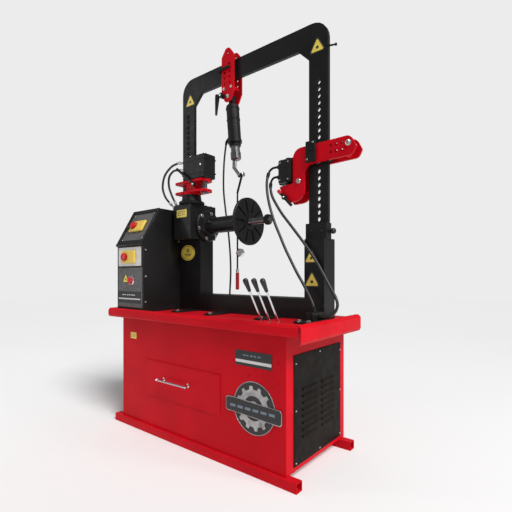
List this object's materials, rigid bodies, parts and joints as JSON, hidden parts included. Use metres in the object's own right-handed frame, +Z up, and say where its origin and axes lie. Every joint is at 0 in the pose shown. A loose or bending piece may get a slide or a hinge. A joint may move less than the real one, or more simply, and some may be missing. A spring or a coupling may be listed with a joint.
{
  "type": "hydraulic rim straightening machine",
  "caption": "Hydraulic wheel-rim straightening machine: steel cabinet, motor-driven spindle with slotted faceplate, drilled portal frame and three hydraulic cylinders on moving brackets.",
  "frame": {"origin": "bottom centre of the machine's box without its hoses, on the floor", "axes": "+X to the operator's right along the front, +Y to the rear, +Z up"},
  "size_m": [1.3916, 0.611, 2.06],
  "materials": {
    "red_paint": "gloss",
    "black_paint": "satin",
    "black_panel": "matt",
    "grey_panel": "satin",
    "steel": "satin",
    "chrome": "polished",
    "black_plastic": "gloss",
    "red_plastic": "gloss",
    "yellow_plastic": "gloss",
    "hose_rubber": "satin",
    "belt_rubber": "matt"
  },
  "bodies": {
    "root": {"front_skid_tube": "red_paint", "rear_skid_tube": "red_paint", "cabinet_shell": "red_paint", "vent_panel": "black_panel", "rear_panel": "red_paint", "tray_top": "red_paint", "oil_tank": "black_paint", "pump_motor": "grey_panel", "valve_block": "grey_panel", "base_beam": "black_paint", "right_socket": "black_paint", "left_pedestal": "black_paint", "right_collar": "black_paint", "portal_frame": "black_paint", "headstock_casing": "black_paint", "control_panel": "grey_panel", "upper_switch_body": "yellow_plastic", "lower_switch_body": "yellow_plastic", "spindle_motor": "grey_panel", "drive_belt": "belt_rubber", "gearbox_housing": "black_paint", "bearing_flange": "black_paint", "right_hose_upper": "hose_rubber", "right_hose_lower": "hose_rubber", "left_hose_upper": "hose_rubber", "left_hose_lower": "hose_rubber", "top_hose": "hose_rubber"},
    "drawer": {"drawer": "red_paint", "drawer_handle": "chrome"},
    "spindle": {"spindle_tube": "black_paint", "faceplate": "black_paint", "spindle_screw": "steel"},
    "clamp_nut": {"clamp_nut": "black_paint"},
    "gearbox_pulley": {"gearbox_pulley": "steel"},
    "motor_pulley": {"motor_pulley": "steel"},
    "upper_stop_button": {"upper_stop_button": "red_plastic"},
    "lower_stop_button": {"lower_stop_button": "red_plastic"},
    "jog_button": {"jog_button": "red_plastic"},
    "speed_lever": {"speed_lever": "grey_panel"},
    "collar_lock_knob": {"collar_lock_knob": "black_plastic"},
    "left_valve_lever": {"left_valve_lever": "chrome"},
    "middle_valve_lever": {"middle_valve_lever": "chrome"},
    "right_valve_lever": {"right_valve_lever": "chrome"},
    "left_arm": {"left_arm_fork": "red_paint", "left_cylinder": "black_paint"},
    "left_ram": {"left_ram": "steel"},
    "left_lock_lever": {"left_lock_lever": "black_paint"},
    "right_carriage": {"right_arm_plates": "red_paint", "right_clamp_block": "black_paint", "right_clamp_strap": "black_paint", "right_cylinder": "black_paint"},
    "right_ram": {"right_ram": "steel"},
    "right_lock_lever": {"right_lock_lever": "black_paint"},
    "top_carriage": {"top_bracket_plates": "red_paint", "top_clamp_clip": "black_paint"},
    "top_clamp_handle": {"top_clamp_handle": "black_paint"},
    "top_cylinder": {"top_cylinder": "black_paint"},
    "top_ram": {"top_ram": "steel"},
    "gauge": {"gauge_rod": "black_paint", "gauge_grip": "red_plastic"}
  },
  "joints": [
    {"name": "drawer_slide", "type": "slide", "parent": "root", "child": "drawer", "axis": [0, -1, 0], "range_m": [0, 0.3]},
    {"name": "spindle_spin", "type": "hinge", "parent": "root", "child": "spindle", "pos_m": [0.05933, 0.10553, 1.118], "axis": [1, 0, 0], "continuous": true},
    {"name": "clamp_nut_slide", "type": "slide", "parent": "spindle", "child": "clamp_nut", "axis": [1, 0, 0], "range_m": [-0.09, 0.006]},
    {"name": "gearbox_pulley_spin", "type": "hinge", "parent": "root", "child": "gearbox_pulley", "pos_m": [-0.45066, 0.06452, 1.118], "axis": [1, 0, 0], "continuous": true},
    {"name": "motor_pulley_spin", "type": "hinge", "parent": "root", "child": "motor_pulley", "pos_m": [-0.45066, 0.02053, 0.8], "axis": [1, 0, 0], "continuous": true},
    {"name": "upper_stop_press", "type": "slide", "parent": "root", "child": "upper_stop_button", "axis": [0, 0.8685, -0.4957], "range_m": [0, 0.004], "stiffness_N_per_m": 400},
    {"name": "lower_stop_press", "type": "slide", "parent": "root", "child": "lower_stop_button", "axis": [0, 1, 0], "range_m": [0, 0.004], "stiffness_N_per_m": 400},
    {"name": "jog_button_press", "type": "slide", "parent": "root", "child": "jog_button", "axis": [0, 1, 0], "range_m": [0, 0.003], "stiffness_N_per_m": 400},
    {"name": "speed_lever_turn", "type": "hinge", "parent": "root", "child": "speed_lever", "pos_m": [-0.40936, 0.04052, 1.145], "axis": [1, 0, 0], "range_deg": [-60, 0]},
    {"name": "collar_knob_turn", "type": "hinge", "parent": "root", "child": "collar_lock_knob", "pos_m": [0.55614, 0.10553, 1.0345], "axis": [1, 0, 0], "continuous": true},
    {"name": "left_valve_lever_tilt", "type": "hinge", "parent": "root", "child": "left_valve_lever", "pos_m": [0.39633, -0.16497, 0.606], "axis": [1, 0, 0], "range_deg": [-12, 12], "stiffness_Nm_per_rad": 8},
    {"name": "middle_valve_lever_tilt", "type": "hinge", "parent": "root", "child": "middle_valve_lever", "pos_m": [0.43933, -0.16497, 0.606], "axis": [1, 0, 0], "range_deg": [-12, 12], "stiffness_Nm_per_rad": 8},
    {"name": "right_valve_lever_tilt", "type": "hinge", "parent": "root", "child": "right_valve_lever", "pos_m": [0.48234, -0.16497, 0.606], "axis": [1, 0, 0], "range_deg": [-12, 12], "stiffness_Nm_per_rad": 8},
    {"name": "left_arm_swivel", "type": "hinge", "parent": "root", "child": "left_arm", "pos_m": [-0.27766, 0.03053, 1.295], "axis": [0, 0, 1], "range_deg": [0, 25], "deforming": ["left_hose_upper", "left_hose_lower"]},
    {"name": "left_ram_slide", "type": "slide", "parent": "left_arm", "child": "left_ram", "axis": [0, 0, -1], "range_m": [0, 0.045]},
    {"name": "left_lock_lever_turn", "type": "hinge", "parent": "left_arm", "child": "left_lock_lever", "pos_m": [-0.20766, -0.00977, 1.335], "axis": [0, 1, 0], "range_deg": [-25, 25]},
    {"name": "right_carriage_slide", "type": "slide", "parent": "root", "child": "right_carriage", "axis": [0, 0, 1], "range_m": [-0.2, 0.28], "deforming": ["right_hose_upper", "right_hose_lower"]},
    {"name": "right_ram_slide", "type": "slide", "parent": "right_carriage", "child": "right_ram", "axis": [0, 0, -1], "range_m": [0, 0.06]},
    {"name": "right_lock_lever_turn", "type": "hinge", "parent": "right_carriage", "child": "right_lock_lever", "pos_m": [0.33933, 0.06823, 1.206], "axis": [0, 1, 0], "range_deg": [-25, 25]},
    {"name": "top_carriage_slide", "type": "slide", "parent": "root", "child": "top_carriage", "axis": [1, 0, 0], "range_m": [-0.05, 0.08], "deforming": ["top_hose"]},
    {"name": "top_clamp_turn", "type": "hinge", "parent": "top_carriage", "child": "top_clamp_handle", "pos_m": [-0.06767, 0.06823, 1.806], "axis": [0, 1, 0], "range_deg": [-30, 30]},
    {"name": "top_cylinder_swing", "type": "hinge", "parent": "top_carriage", "child": "top_cylinder", "pos_m": [-0.03766, 0.10553, 1.8], "axis": [0, 1, 0], "range_deg": [-2, 3]},
    {"name": "top_ram_slide", "type": "slide", "parent": "top_cylinder", "child": "top_ram", "axis": [0.0872, 0, -0.9962], "range_m": [0, 0.08]},
    {"name": "gauge_swing", "type": "hinge", "parent": "top_ram", "child": "gauge", "pos_m": [0.00953, 0.12752, 1.38027], "axis": [1, 0, 0], "range_deg": [0, 20]}
  ],
  "couplings": [
    {"joint": "gearbox_pulley_spin", "follows": "spindle_spin", "ratio": -3},
    {"joint": "motor_pulley_spin", "follows": "spindle_spin", "ratio": -6}
  ]
}
